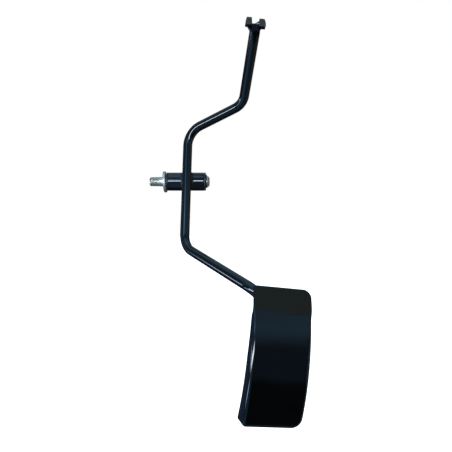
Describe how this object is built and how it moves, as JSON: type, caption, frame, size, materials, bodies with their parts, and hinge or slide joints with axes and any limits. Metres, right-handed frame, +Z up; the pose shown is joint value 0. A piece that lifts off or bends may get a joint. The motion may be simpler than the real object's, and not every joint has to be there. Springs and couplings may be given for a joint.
{
  "type": "hanging accelerator pedal",
  "caption": "Hanging accelerator pedal: a bent round lever rod on a threaded pivot pin, with a slotted cable fork at its top and a curved foot pad at its bottom.",
  "frame": {"origin": "on the pivot pin's axis, at the washer's face that bears on the vehicle's bracket", "axes": "+X along the pivot pin, away from the bracket; +Y forward in the vehicle, away from the driver; +Z up"},
  "size_m": [0.1512, 0.138, 0.3472],
  "materials": {
    "black_paint": "high-gloss black paint over steel",
    "zinc_plate": "bright zinc plating, slightly yellow in the shade",
    "bush_polymer": "matt black moulded polymer",
    "spring_steel": "satin black phosphate"
  },
  "bodies": {
    "pivot": {"pivot_pin": "zinc_plate", "mount_washer": "zinc_plate", "circlip": "spring_steel"},
    "lever": {"left_bush": "bush_polymer", "right_bush": "bush_polymer", "pivot_tube": "black_paint", "lever_rod": "black_paint", "tube_weld_left": "black_paint", "tube_weld_right": "black_paint", "pedal_pad": "black_paint", "pad_weld_upper": "black_paint", "pad_weld_lower": "black_paint", "cable_fork": "black_paint", "fork_weld": "black_paint"}
  },
  "joints": [
    {"name": "pedal_pivot", "type": "hinge", "parent": "pivot", "child": "lever", "pos_m": [0.0236, 0, 0], "axis": [1, 0, 0], "range_deg": [0, 25]}
  ]
}
